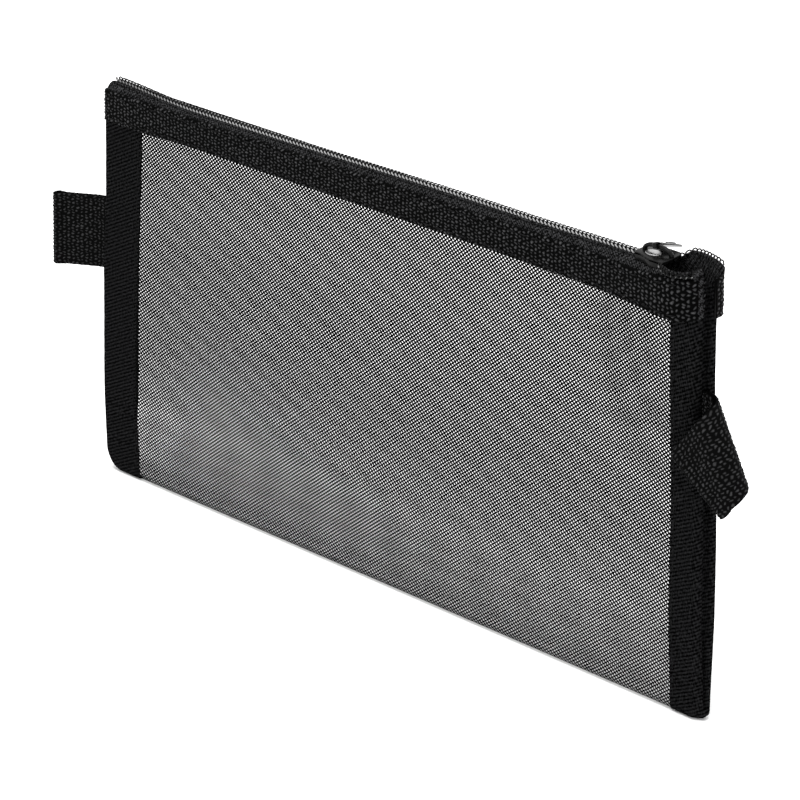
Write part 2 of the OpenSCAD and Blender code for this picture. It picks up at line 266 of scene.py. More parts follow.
class Builder:
    """Collects points and faces and makes them one piece."""

    def __init__(self):
        self.points, self.faces, self.painted_light, self.count = [], [], [], 0

    def add(self, points, faces, painted_light=0.5):
        """Takes in points, the faces between them and the painted light at each: the height of the weave or
        the crest of a coil's turn, which the webbing and coil materials paint as highlight and shade.
        """
        points = np.asarray(points, float).reshape(-1, 3)
        self.points.append(points)
        self.painted_light.append(np.broadcast_to(np.asarray(painted_light, float).ravel(), len(points)))
        self.faces += [[k + self.count for k in face] for face in faces]
        self.count += len(points)

    def piece(self, name, material, slot, nodes=(), body="case"):
        """Makes the mesh object."""
        points = np.vstack(self.points)
        points[:, 0] *= 1 + TAPER * (TAPER_Z - points[:, 2])
        mesh = bpy.data.meshes.new(name)
        mesh.from_pydata((points * MM).tolist(), [], self.faces)
        # Painted light for each point, which the webbing and coil materials read to paint highlights and
        # shade
        attribute = mesh.attributes.new("painted_light", "FLOAT", "POINT")
        attribute.data.foreach_set("value", np.concatenate(self.painted_light).astype(np.float32))
        bm = bmesh.new()
        bm.from_mesh(mesh)
        bmesh.ops.recalc_face_normals(bm, faces=bm.faces)
        bm.to_mesh(mesh)
        bm.free()
        mesh.polygons.foreach_set("use_smooth", [True] * len(mesh.polygons))
        mesh.materials.append(material)
        obj = bpy.data.objects.new(name, mesh)
        bpy.context.scene.collection.objects.link(obj)
        if nodes:
            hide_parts(*nodes)
        if body:
            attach(obj, body)
        return obj


def thicken(obj, thickness):
    """Gives a sheet its thickness, half to each side."""
    modifier = obj.modifiers.new("cloth_thickness", "SOLIDIFY")
    modifier.thickness = thickness * MM
    modifier.offset = 0


def circle(radius, sides):
    """Round section for sweep()."""
    angle = 2 * np.pi * np.arange(sides) / sides
    return radius * np.stack([np.cos(angle), np.sin(angle)], axis=1)


def rounded_box(width, height, corner, steps=3):
    """Section of a rounded rectangle for sweep()."""
    points = []
    for quarter, (sx, sy) in enumerate([(1, 1), (-1, 1), (-1, -1), (1, -1)]):
        for angle in np.radians(90 * quarter + np.linspace(0, 90, steps)):
            points.append(
                (
                    sx * (width / 2 - corner) + corner * math.cos(angle),
                    sy * (height / 2 - corner) + corner * math.sin(angle),
                )
            )
    return np.array(points)


def sweep(path, normals, section, scale=None, closed=False):
    """Points and faces of a section drawn along a path; the section's first axis lies along the normals."""
    path = np.asarray(path, float)
    normals = np.broadcast_to(np.asarray(normals, float), path.shape)
    if closed:
        tangent = unit(np.roll(path, -1, axis=0) - np.roll(path, 1, axis=0))
    else:
        tangent = unit(np.gradient(path, axis=0))
    side = unit(np.cross(tangent, normals))
    up = np.cross(side, tangent)
    scale = np.ones(len(path)) if scale is None else np.asarray(scale, float)
    ring = section[None, :, :1] * up[:, None] + section[None, :, 1:] * side[:, None]
    points = path[:, None] + ring * scale[:, None, None]
    rows, cols = points.shape[:2]
    if closed:
        return points, grid_faces(rows, cols, wrap_rows=True, wrap_cols=True)
    return points, tube_faces(rows, cols)


def prism(outline, z0, z1):
    """Points and faces of an X and Y outline drawn up from z0 to z1."""
    n = len(outline)
    points = [(x, y, z0) for x, y in outline] + [(x, y, z1) for x, y in outline]
    faces = [[k, (k + 1) % n, n + (k + 1) % n, n + k] for k in range(n)]
    return points, faces + [list(range(n))[::-1], list(range(n, 2 * n))]


# Materials


class Finish:
    """A node material with object coordinates and short ways to add texture nodes."""

    def __init__(self, name, roughness, specular, metallic=0.0):
        self.material = bpy.data.materials.new(name)
        self.material.use_nodes = True
        tree = self.material.node_tree
        self.nodes, self.links = tree.nodes, tree.links
        self.bsdf = self.nodes["Principled BSDF"]
        self.bsdf.inputs["Roughness"].default_value = roughness
        self.bsdf.inputs["Specular IOR Level"].default_value = specular
        self.bsdf.inputs["Metallic"].default_value = metallic
        self.coords = self.nodes.new("ShaderNodeTexCoord").outputs["Object"]

    def math(self, operation, a, b=0.0):
        """One step of arithmetic on two values or outputs."""
        node = self.nodes.new("ShaderNodeMath")
        node.operation = operation
        for socket, value in zip(node.inputs, (a, b)):
            if isinstance(value, (int, float)):
                socket.default_value = value
            else:
                self.links.new(value, socket)
        return node.outputs[0]

    def noise(self, size, detail=3.0):
        """Noise with blotches of about that size in millimetres."""
        node = self.nodes.new("ShaderNodeTexNoise")
        node.inputs["Scale"].default_value = 1 / (size * MM)
        node.inputs["Detail"].default_value = detail
        self.links.new(self.coords, node.inputs["Vector"])
        return node.outputs["Fac"]

    def ribs(self, direction, period):
        """Waves from -1 to 1 along a direction, with that period in millimetres."""
        node = self.nodes.new("ShaderNodeVectorMath")
        node.operation = "DOT_PRODUCT"
        node.inputs[1].default_value = unit(np.array(direction, float)) * 2 * math.pi / (period * MM)
        self.links.new(self.coords, node.inputs[0])
        return self.math("SINE", node.outputs["Value"])

    def painted_light(self):
        """The painted light that the mesh carries for each point, from painted shade at 0 to a painted
        highlight at 1.
        """
        node = self.nodes.new("ShaderNodeAttribute")
        node.attribute_name = "painted_light"
        return node.outputs["Fac"]

    def colour(self, factor, low, high, start=0.3, end=0.7):
        """Base colour between two greys."""
        ramp = self.nodes.new("ShaderNodeValToRGB")
        for element, position, grey in zip(ramp.color_ramp.elements, (start, end), (low, high)):
            element.position = position
            element.color = (*grey, 1)
        self.links.new(factor, ramp.inputs["Fac"])
        self.links.new(ramp.outputs["Color"], self.bsdf.inputs["Base Color"])

    def rough(self, factor, low, high):
        """Roughness between two values."""
        node = self.nodes.new("ShaderNodeMapRange")
        node.inputs["To Min"].default_value = low
        node.inputs["To Max"].default_value = high
        self.links.new(factor, node.inputs["Value"])
        self.links.new(node.outputs["Result"], self.bsdf.inputs["Roughness"])

    def bump(self, height, depth, strength=1.0):
        """Bump of that depth in millimetres."""
        node = self.nodes.new("ShaderNodeBump")
        node.inputs["Distance"].default_value = depth * MM
        node.inputs["Strength"].default_value = strength
        self.links.new(height, node.inputs["Height"])
        self.links.new(node.outputs["Normal"], self.bsdf.inputs["Normal"])


def grey(level, tint=0.0):
    """A near-black or grey colour, slightly blue with a tint."""
    return (level, level, level * (1 + tint))


def net_finish():
    """Dull black net thread."""
    f = Finish("net_thread", 0.6, 0.0)
    f.colour(f.noise(3.0), grey(0.003), grey(0.007, 0.05))
    f.bump(f.noise(0.12), 0.02, 0.5)
    return f.material


def strip_finish():
    """Black twill of the side strips."""
    f = Finish("strip_cloth", 0.6, 0.0)
    slope = math.radians(28)
    twill = f.ribs((-math.sin(slope), 0, math.cos(slope)), 0.95)
    yarn = f.math("MULTIPLY", f.ribs((1, 0, 0.2), 0.55), 0.5)
    weave = f.math("ADD", twill, yarn)
    shade = f.math("ADD", f.math("MULTIPLY", weave, 0.14), f.noise(0.6))
    f.colour(shade, grey(0.0006), grey(0.017, 0.04), 0.35, 0.8)
    f.bump(weave, 0.07, 0.8)
    return f.material


def webbing_finish(name, low, high):
    """Coarse webbing, with painted highlights on the crests of its weave and painted shade in the hollows."""
    f = Finish(name, 0.5, 0.01)
    fibre = f.noise(0.3, 4.0)
    # Painted highlight: the crests of the grains are painted lighter and the hollows darker, broken up by the
    # fibre noise
    painted_crest_light = f.math("MULTIPLY", f.painted_light(), f.math("ADD", fibre, 0.5))
    f.colour(painted_crest_light, grey(low), grey(high, 0.03), 0.12, 1.0)
    f.bump(fibre, 0.05, 0.6)
    return f.material


def tape_finish():
    """Fine knit of the zip tape."""
    f = Finish("zip_tape", 0.6, 0.01)
    rib = f.ribs((1, 0, 0.6), 0.9)
    row = f.ribs((0.15, 0.5, 1), 0.9)
    knit = f.math("MULTIPLY", rib, row)
    shade = f.math("ADD", f.math("MULTIPLY", knit, 0.12), f.noise(0.45, 4.0))
    f.colour(shade, grey(0.0006), grey(0.05, 0.04), 0.42, 0.75)
    f.bump(knit, 0.06, 0.8)
    return f.material


def coil_finish():
    """Glossy nylon wire, black, with a painted highlight along the crests of its turns."""
    f = Finish("zip_coil", 0.34, 0.1)
    # Painted highlight: the wire is painted light grey along the crests of its turns
    f.colour(f.painted_light(), grey(0.003), grey(0.4), 0.4, 0.8)
    f.rough(f.noise(0.6), 0.28, 0.45)
    return f.material


def paint_finish():
    """Black paint on metal."""
    f = Finish("slider_paint", 0.25, 0.12)
    f.colour(f.noise(1.2), grey(0.002), grey(0.005))
    f.rough(f.noise(0.8), 0.18, 0.34)
    f.bump(f.noise(0.35), 0.01, 0.4)
    return f.material


def metal_finish(name, low, high):
    """Brushed bare metal."""
    f = Finish(name, 0.3, 0.5, metallic=1.0)
    f.colour(f.noise(0.8), grey(low), grey(high))
    f.rough(f.noise(0.5), 0.22, 0.4)
    f.bump(f.ribs((1, 0, 0), 0.12), 0.004, 0.4)
    return f.material


def thread_finish():
    """Twisted sewing thread."""
    f = Finish("sewing_thread", 0.5, 0.02)
    twist = f.ribs((1, 0.3, 1), 0.32)
    f.colour(f.noise(0.6), grey(0.004), grey(0.012, 0.04))
    f.bump(twist, 0.05, 0.8)
    return f.material


def floor_finish():
    """Pale matt floor."""
    f = Finish("pale_floor", 0.8, 0.1)
    f.colour(f.noise(60.0), grey(0.93), grey(0.95))
    f.bump(f.noise(2.0), 0.02, 0.2)
    return f.material


NET, STRIP, TAPE = net_finish(), strip_finish(), tape_finish()
# The webbing's dark and light greys are its painted shade and painted highlight; the loops get weaker painted
# highlights than the bands
WEBBING = webbing_finish("band_webbing", 0.001, 0.065)
LOOP_WEBBING = webbing_finish("loop_webbing", 0.0018, 0.045)
COIL, PAINT, THREAD = coil_finish(), paint_finish(), thread_finish()
NICKEL, GUNMETAL = metal_finish("plate_nickel", 0.42, 0.58), metal_finish("pull_gunmetal", 0.1, 0.18)


# Folded cloth

# A place along the fold: 0 to 1 down the front leg, 1 to 2 round the front of the fold, 2 to 3 along the
# base, 3 to 4 up the back of the fold, 4 to 5 up the back leg.


def section(t, inset):
    """Y and Z of the folded cloth at a place along the fold, at a depth below its outside."""
    t, inset = np.broadcast_arrays(np.asarray(t, float), np.asarray(inset, float))
    side = np.where(t < 2.5, -1, 1)
    u = np.where(t < 2.5, t, 5 - t)
    angle = np.clip(u - 1, 0, 1) * np.pi / 2
    to_middle = np.clip(u - 2, 0, 0.5) * 2
    around = np.clip(np.cos(angle), 0, 1) ** FOLD_FULLNESS
    down = np.clip(np.sin(angle), 0, 1) ** FOLD_FULLNESS
    y = BASE_FLAT / 2 * (1 - to_middle) + (HALF_T - BASE_FLAT / 2 - inset) * around
    z = FOLD_H - (FOLD_H - inset) * down + (1 - np.clip(u, 0, 1)) * (CLOTH_TOP - FOLD_H)
    y = y * (1 - BASE_SLIM * (1 - ease(z, 0, SLIM_H)))
    return side * y, z


def sheet_point(x, t, inset):
    """Point of the folded cloth, pushed out where the mouth of the zip stands open."""
    y, z = section(t, inset)
    side = np.where(np.asarray(t) < 2.5, -1, 1)
    y = y + side * mouth(x) * ease(z, MOUTH_LOW, band_low[2])
    return np.stack(np.broadcast_arrays(x, y, z), axis=-1)


def build_net():
    """Front panel of slanting threads that cross, and finer straight threads for the bottom and the back."""
    t_fine = np.linspace(0, 5, 3001)
    along = lengths_along(np.stack(section(t_fine, 2 * NET_LAYER), axis=-1))
    t_fold = np.linspace(1, 2, 6)

    def stops_of(t_leg):
        """Distances along the fold at which a thread may turn."""
        t_stops = np.concatenate([t_leg, t_fold, [2.5], 5 - t_fold, 5 - t_leg])
        return np.unique(np.round(np.interp(t_stops, t_fine, along), 4))

    low_leg = [0.76, 0.85, 0.93, 1]
    stops = stops_of(np.array([0, 0.25, 0.5] + low_leg))
    mouth_stops = stops_of(np.concatenate([np.linspace(0, 0.66, 13), low_leg]))
    under_strip = 0.6
    x_low, x_high = -STRIP_X[-1] - under_strip, STRIP_X[1] + under_strip
    net = Builder()

    def thread(x, v, inset, ring):
        """One thread, thinner where it turns under the bottom."""
        t = np.interp(v, along, t_fine)
        path = sheet_point(x, t, inset)
        normals = unit(sheet_point(x, t, inset - 0.05) - path)
        thin = 1 - NET_FADE_Z * (1 - ease(path[:, 2], -5, 55))
        net.add(*sweep(path, normals, ring, scale=thin * (1 - (1 - FOLD_THREAD) * ease(t, 1.0, 1.8))))

    front_end = np.interp(1.9, t_fine, along)
    for slope, inset, radius in NET_THREADS:
        ring = circle(radius, 6)
        reach = abs(slope) * front_end
        for x0 in np.arange(x_low - reach, x_high + reach, NET_SPACING_X):
            ends = np.sort([(x_low - x0) / slope, (x_high - x0) / slope])
            v0, v1 = np.clip(ends, 0, front_end)
            if v1 - v0 > 1:
                near_mouth = x0 + slope * (v1 if slope > 0 else v0) > MOUTH_START - 10
                turns = mouth_stops if near_mouth else stops
                v = np.concatenate([[v0], turns[(turns > v0 + 0.3) & (turns < v1 - 0.3)], [v1]])
                thread(x0 + slope * v, v, inset, ring)
    fine_ring = circle(BACK_THREAD_R / FOLD_THREAD, 4)
    back_start = np.interp(1.6, t_fine, along)
    v_down = np.concatenate([[back_start], stops[stops > back_start + 0.3]])
    back_low = -BACK_STRIP_X[-1] - under_strip
    for x in np.arange(back_low, x_high, BACK_SPACING):
        thread(np.full(len(v_down), x), v_down, 2 * NET_LAYER, fine_ring)
    x_across = np.concatenate([[back_low], np.linspace(MOUTH_START, x_high, 9)])
    for v in np.arange(back_start, along[-1], BACK_SPACING):
        thread(x_across, np.full(len(x_across), v), 2 * NET_LAYER + 2 * BACK_THREAD_R, fine_ring)
    net.piece("net_panel", NET, "net", ["mesh_body"])


def build_strip(side):
    """Side strip: turned hem, flat cloth, rolled edge, and the seam valley between front and back."""
    roll_r = 1.6
    wall_inset = 2.4
    floor_x = HALF_W - 2.5
    inner_x = STRIP_X[side]
    stitch_x = inner_x + 1.0
    hem = [(0.35, 0.42), (0.05, 0.34), (0.0, 0.18), (0.15, 0.03)]
    cols = [(inner_x + dx, inset) for dx, inset in hem]
    near_hem = np.linspace(inner_x + 0.4, inner_x + 1.8, 6)
    flat = np.linspace(inner_x + 2.4, HALF_W - roll_r, 10)
    cols += [(x, 0.0) for x in (*near_hem, *flat)]
    roll = np.radians(np.linspace(-78, math.degrees(math.asin(wall_inset / roll_r - 1)), 9))
    cols += [(HALF_W - roll_r + roll_r * math.cos(a), roll_r + roll_r * math.sin(a)) for a in roll]
    wall = len(cols)
    valley_floor = [(1.0, wall_inset), (0.3, wall_inset + 0.1), (0.0, wall_inset + 0.5), (0.0, HALF_T)]
    cols += [(floor_x + dx, inset) for dx, inset in valley_floor]
    cols = np.array(cols)
    leg, fold, base = np.linspace(0, 1, 110), np.linspace(1, 2, 16), [2.25, 2.5, 2.75]
    t_rows = np.concatenate([leg, fold[1:], base, 2 + fold, 4 + leg[1:]])
    t = t_rows[:, None]
    x, inset = np.broadcast_to(cols[:, 0], (len(t_rows), len(cols))).copy(), cols[:, 1][None, :].copy()
    # The back leg may be narrower than the front one: its flat part closes up towards the rolled edge
    narrow = (BACK_STRIP_X[side] - inner_x) * ease(t, 2.0, 3.0)
    flat_end = HALF_W - 3 * roll_r

    def inner_part(x):
        """1 at the inner edge, falling to 0 before the rolled edge."""
        return np.clip((flat_end - x) / (flat_end - inner_x), 0, 1)

    x = x + narrow * inner_part(x)
    # Puckers from the sewing: short waves that fade away from the stitch line and along the rolled edge
    phase = rng.uniform(0, 2 * np.pi, 3)
    ripples = ((190, 0.5), (71, 0.3), (29, 0.4))
    wave = sum(size * np.sin(t * rate + start) for (rate, size), start in zip(ripples, phase))
    flat_leg = (1 - ease(t, 0.93, 1.0)) + ease(t, 4.0, 4.07)
    near_stitch = np.exp(-(((cols[:, 0] - stitch_x) / 1.3) ** 2))
    near_roll = ease(cols[:, 0], HALF_W - 4, HALF_W - 1) * (cols[:, 1] < wall_inset)
    valley = 0.13 * np.exp(-(((cols[:, 0] - stitch_x) / 0.35) ** 2)) * (cols[:, 1] < 0.1)
    inset = inset + valley + flat_leg * wave * (0.035 * near_stitch + 0.05 * near_roll)
    y, z = section(t, inset)
    middle = cols[:, 1] >= HALF_T
    y = np.where(middle[None, :], 0, y)
    # The valley fills up where the cloth folds under the bottom
    lip_x = cols[wall - 1, 0]
    fill = 1 - ease(z, 2.0, FOLD_H + 1)
    deep = np.arange(len(cols)) >= wall
    x = np.where(deep[None, :], x + (lip_x - x) * fill, x)
    # Lower corner
    corner = CORNER_R[side]
    low = np.clip(corner - z, 0, corner)
    pull_in = corner - np.sqrt(np.maximum(corner**2 - low**2, 0))
    x = x - pull_in * np.clip((x - inner_x) / (HALF_W - inner_x), 0, 1) ** 1.5
    # The inner edge leans to the middle towards the top
    x = x - STRIP_LEAN[side] * ease(z, *LEAN_Z) * inner_part(x)
    # The left edge is drawn in above its loop, and the right edge below the open end of the zip
    edge_part = ease(x, inner_x + 2, HALF_W - 1)
    if side < 0:
        x = x - (LEFT_IN + LEFT_WAIST * ease(z, *LEFT_WAIST_Z)) * edge_part
    else:
        x = x - (RIGHT_WAIST * ease(z, *RIGHT_WAIST_Z) + FRONT_TUCK * ease(-y, 0.3, 1.5)) * edge_part
    out = np.where(t < 2.5, -1, 1)
    free = np.where(middle[None, :], 0, 1) * (1 - ease(x, HALF_W - 3, HALF_W))
    y = y + out * free * mouth(side * x) * ease(z, MOUTH_LOW, band_low[2])
    strip = Builder()
    strip.add(np.stack([side * x, y, z], axis=-1), grid_faces(len(t_rows), len(cols)))
    name = END_NAME[side]
    obj = strip.piece(f"{name}_strip_cloth", STRIP, "strip_cloth", [f"{name}_side_strip"])
    thicken(obj, 0.25)


# Webbing


def grains(u, v):
    """Height from 0 to 1 of the weave: staggered grains of uneven place, slant, size and height."""
    u = u + 0.16 * np.sin(2.3 * v + 0.7 * u) + 0.1 * np.sin(5.1 * v - 1.9 * u)
    v = v + 0.16 * np.sin(1.7 * u + 1.1 * v) + 0.1 * np.sin(4.3 * u + 2.9 * v)
    column = np.floor(u / GRAIN_PITCH_U)
    row = v / GRAIN_PITCH_V + 0.5 * np.mod(column, 2)
    cell = np.round(row)

    def chance(k):
        """A number from 0 to 1 for each grain."""
        return np.mod(np.abs(np.sin(column * 12.99 + cell * 78.23 + k)) * 43758.5, 1)

    du = u - (column + 0.5) * GRAIN_PITCH_U + GRAIN_STRAY * (chance(1) - 0.5)
    dv = (row - cell) * GRAIN_PITCH_V + GRAIN_STRAY * (chance(2) - 0.5)
    du = du + GRAIN_SLANT * dv * (3 * chance(3) - 1)
    size = 0.8 + 0.35 * chance(4)
    dome = np.clip(1 - (du / GRAIN_HALF_U / size) ** 2 - (dv / GRAIN_HALF_V / size) ** 2, 0, 1)
    return (0.6 + 0.4 * chance(5)) * dome


def band_height(x, w):
    """Height of a place on a band, from its distance above the lower edge."""
    low = low_edge(x)
    return low + (band_high[2] + rise(x) - low) * w / BAND_H


def build_band(side):
    """Top band: webbing with rounded edges, sunk stitch rows and a woven face, turned in at both ends."""
    name = FACE_NAME[side]
    edge_r = 0.45
    quarter = BAND_TURN * np.pi / 2
    left, right = BAND_LEFT + BAND_TURN, BAND_RIGHT[side] - BAND_TURN
    us = np.arange(-quarter, right - left + quarter + BAND_TAIL[side], WEB_STEP)
    ws = np.linspace(0, BAND_H, int(BAND_H / WEB_STEP) + 1)
    u, w = np.meshgrid(us, ws, indexing="ij")
    past = np.maximum(u - (right - left), 0)
    tail = np.maximum(past - quarter, 0)
    turned = (np.minimum(u, 0) + past - tail) / BAND_TURN
    x = left + np.clip(u, 0, right - left) + BAND_TURN * np.sin(turned)
    drawn_in = BAND_TURN * (1 - np.cos(turned)) + tail
    to_edge = np.minimum(w, BAND_H - w)
    round_off = edge_rounding(to_edge, edge_r)
    sunk = sum(np.exp(-(((w - row) / 0.3) ** 2)) for row in (BAND_ROW_EDGE, BAND_H - BAND_ROW_EDGE))
    height = grains(u, w)
    lift = GRAIN_H * (height - 0.7) * (1 - 0.6 * np.clip(sunk, 0, 1)) - round_off - 0.18 * sunk
    z, shift = band_height(x, w), BAND_OUT - drawn_in + mouth(x)

    def skin(offset):
        """Points at a distance outside the band's face."""
        return np.stack([x + offset * np.sin(turned), side * (shift + offset * np.cos(turned)), z], axis=-1)

    inside = skin(0.02 - BAND_T)[:, [-1, 0]]
    ring = np.concatenate([skin(lift), inside], axis=1)
    # The band's face carries the weave's height as painted light; its inside carries none
    painted_light = np.concatenate([height, 0 * height[:, :2]], axis=1)
    band = Builder()
    band.add(ring, tube_faces(*ring.shape[:2]), painted_light)
    band.piece(f"{name}_band_webbing", WEBBING, "webbing", [f"{name}_top_band"])


# Zip


def coil_shift(x):
    """How far the slider has parted each coil from the closed chain."""
    return COIL_IN_SLIDER * ease(x, SLIDER_X - 3.5, SLIDER_X + 2)


def end_drop(x):
    """How far the top of the zip dips at its two ends."""
    left, right = np.clip(-101.8 - x, 0, 10), np.clip(x - HALF_W + 2.5, 0, 10)
    return 0.3 * left**2 + 0.12 * right**2


def lip(x):
    """Share of its full droop that the front edge of the open end has folded down and out."""
    return ease(x, SLIDER_X + 4, SLIDER_X + 10.5) * (1 - 1.2 * ease(x, HALF_W - 5, HALF_W - 0.5))


def tape_controls(x, side):
    """Four control points, as distance from the middle plane and height, of the tape's upper edge."""
    x = np.asarray(x, float)
    start, end = OPENING[side]
    open_part = ease(x, SLIDER_X + start, SLIDER_X + end)[..., None]
    hem = HALF_T - 0.3 - TAPE_T / 2 + mouth(x)
    turn = band_high[2] - TAPE_TURN + rise(x)
    mid = COIL_MID + coil_shift(x)
    top = coil_low[2] - TAPE_T / 2 + sway(x)
    closed = np.stack(
        [
            np.stack([hem, turn], -1),
            np.stack([hem, turn + 1.0], -1),
            np.stack([mid + 1.2, top], -1),
            np.stack([mid, top], -1),
        ],
        axis=-2,
    )
    flare, upright_step = 0.5, 1.33
    upright = np.stack(
        [np.stack([hem + flare * k / 3, turn + upright_step * k], -1) for k in range(4)],
        axis=-2,
    )
    controls = closed + (upright - closed) * open_part[..., None]
    controls[..., 1] -= end_drop(x)[..., None]
    if side < 0:
        fold = LIP_DROP * lip(x)[..., None] * np.array([0, 0, 0.6, 1.0])
        controls += fold[..., None] * np.array([1.0, -1.0])
    return controls


def build_tape(side):
    """Zip tape: a hem behind the band, then up and over to the chain, or upright where the zip is open."""
    name = FACE_NAME[side]
    end, fine_from = ZIP_END[side], 70.0
    coarse, fine = np.arange(-tape_high[0] - 1.2, fine_from, 1.0), np.arange(fine_from, end - 0.2, 0.4)
    xs = np.concatenate([coarse, fine, [end]])
    controls = tape_controls(xs, side)
    s = np.linspace(0, 1, 9)[None, :, None]
    a, b, c, d = (controls[:, None, k] for k in range(4))
    curve = a * (1 - s) ** 3 + 3 * b * s * (1 - s) ** 2 + 3 * c * s**2 * (1 - s) + d * s**3
    share = np.linspace(0, 1, 6)[None, :-1]
    hem_z = tape_low[2] + (controls[:, :1, 1] - tape_low[2]) * share
    hem = np.stack([np.repeat(controls[:, :1, 0], share.shape[1], axis=1), hem_z], axis=-1)
    profile = np.concatenate([hem, curve], axis=1)
    along = unit(np.gradient(profile, axis=1))
    normal = np.stack([along[..., 1], -along[..., 0]], axis=-1)
    outside, inside = profile + normal * TAPE_T / 2, profile - normal * TAPE_T / 2
    ring = np.concatenate([outside, inside[:, ::-1]], axis=1)
    x = np.broadcast_to(xs[:, None], ring.shape[:2])
    points = np.stack([x, side * ring[..., 0], ring[..., 1]], axis=-1)
    tape = Builder()
    tape.add(points, tube_faces(*ring.shape[:2]))
    tape.piece(f"{name}_tape_cloth", TAPE, "zip_tape", [f"{name}_zip_tape"])


def coil_frame(x, side):
    """Edge of the tape, the direction of its teeth, and the direction away from the tape."""
    controls = tape_controls(x, side)
    edge = controls[:, 3]
    teeth = unit(controls[:, 3] - controls[:, 2])
    away = np.stack([teeth[:, 1], -teeth[:, 0]], axis=-1)

    def lift(v, x_part):
        """A place or direction of the cross section, put into space."""
        return np.stack([x_part, side * v[:, 0], v[:, 1]], axis=-1)

    zero = np.zeros(len(x))
    return lift(edge, np.asarray(x, float)), lift(teeth, zero), lift(away, zero)


def build_coil(side):
    """Nylon coil: one wire wound in long flat loops, half a pitch out of step with the other coil."""
    name = FACE_NAME[side]
    start = coil_low[0] + COIL_START[side] * TOOTH_PITCH + 1.0
    turns = int((ZIP_END[side] - 0.3 - start) / TOOTH_PITCH)
    phi = np.arange(turns * COIL_TURN_POINTS) * 2 * np.pi / COIL_TURN_POINTS
    x = start + phi / (2 * np.pi) * TOOTH_PITCH
    apart = ease(x, SLIDER_X, SLIDER_X + 6)
    edge, teeth, away = coil_frame(x, side)
    reach = 0.35 - TEETH_SUNK[side] * apart + (0.32 + TEETH_LONGER[side] * apart) * np.cos(phi)
    off = TAPE_T / 2 + COIL_OUT[side] + 0.45 * np.sin(phi)
    path = edge + teeth * reach[:, None] + away * off[:, None]
    path[:, 0] -= COIL_LEAD * (1 - apart) * np.sin(phi)
    coil = Builder()
    sides = 7
    # Painted highlight along the crest of each turn, weaker towards the left end and where the coils part
    fade = (0.65 + 0.35 * ease(x, -100, -40)) * (1 - 0.4 * apart)
    painted_glint = fade * np.clip(np.cos(phi - 1.04 * np.pi), 0, 1)
    coil.add(*sweep(path, (1.0, 0.0, 0.0), circle(COIL_WIRE_R, sides)), np.repeat(painted_glint, sides))
    coil.piece(f"{name}_coil_wire", COIL, "zip_coil", [f"{name}_zip_coil"])
    # The row of sewing that holds the coil to the tape
    seam_x = np.arange(start, ZIP_END[side] - 1, 0.6)
    edge, teeth, away = coil_frame(seam_x, side)
    ripple = 0.05 * np.sin(seam_x * 2 * np.pi / 2.4)
    path = edge - teeth * 1.15 + away * (TAPE_T / 2 + 0.1 + ripple)[:, None]
    seam = Builder()
    seam.add(*sweep(path, away, circle(0.16, 6)))
    seam.piece(f"{name}_coil_sewing", TAPE, "zip_tape")


def wing_outline(tail, shoulder):
    """Plan of a slider wing with rounded shoulders."""
    half = [
        (-SLIDER_HALF, tail * 0.72), (-SLIDER_HALF + 0.5, tail), (-SLIDER_HALF + 2, tail),
        (-SLIDER_HALF + 4, (tail + shoulder) / 2), (-SLIDER_HALF + 6, shoulder),
        (SLIDER_HALF - 1.2, shoulder), (SLIDER_HALF - 0.3, shoulder - 0.5), (SLIDER_HALF, shoulder - 1.4),
    ]
    return [(SLIDER_X + x, -y) for x, y in half] + [(SLIDER_X + x, y) for x, y in half[::-1]]


def bevel(obj, width, segments=3):
    """Rounds the sharp edges of a piece."""
    modifier = obj.modifiers.new("rounded_edges", "BEVEL")
    modifier.width = width * MM
    modifier.segments = segments
    modifier.limit_method = "ANGLE"
    modifier.angle_limit = math.radians(40)


def build_slider():
    """Slider: top and bottom wings, side flanges and the wedge between the coils."""
    wing_t = 0.7
    top = slider_high[2]
    shoulder, tail = slider_high[1], 2.9
    flange_low, flange_t = top - 2.1, 0.5
    body = Builder()
    body.add(*prism(wing_outline(tail, shoulder), top - wing_t, top))
    for side in (-1, 1):
        wing = [(x, y) for x, y in wing_outline(tail, shoulder) if y * side > 0]
        outer = sorted((x, y) for x, y in wing if x < SLIDER_X + SLIDER_HALF - 0.2)
        inner = [(x, y - side * flange_t) for x, y in outer]
        outline = outer + inner[::-1]
        body.add(*prism(outline, flange_low, top - 0.05))
    body.add(*prism(wing_outline(2.1, 2.3), slider_low[2], slider_low[2] + wing_t))
    nose = [(SLIDER_X + 1.8, 0), (SLIDER_X + 3.4, -0.75), (SLIDER_X + 4.6, 0), (SLIDER_X + 3.4, 0.75)]
    body.add(*prism(nose, slider_low[2] + 0.1, top - 0.1))
    obj = body.piece("slider_shell", PAINT, "slider_paint", ["slider_body"], body="slider")
    bevel(obj, 0.16)


def build_arch():
    """Arch over the slider, which the pull hangs on."""
    top = slider_high[2]
    crown_half = (crown_high[0] - crown_low[0]) / 2
    bar_t, bar_w = 1.0, 1.1
    bar_mid = crown_high[2] - 1.15
    a = np.linspace(0, np.pi, 29)
    shape = np.sin(a) ** 0.7
    reach = np.where(np.cos(a) > 0, crown_half - 0.5, crown_half + 0.3)
    bar_low = top - 0.2
    path = np.stack([SLIDER_X - reach * np.cos(a), 0 * a, bar_low + (bar_mid - bar_low) * shape], axis=-1)
    bar = Builder()
    bar.add(*sweep(path, unit(path - np.array([SLIDER_X, 0, top - 2.5])), rounded_box(bar_t, bar_w, 0.25)))
    bar.piece("slider_arch", PAINT, "slider_paint", ["slider_crown"], body="slider")


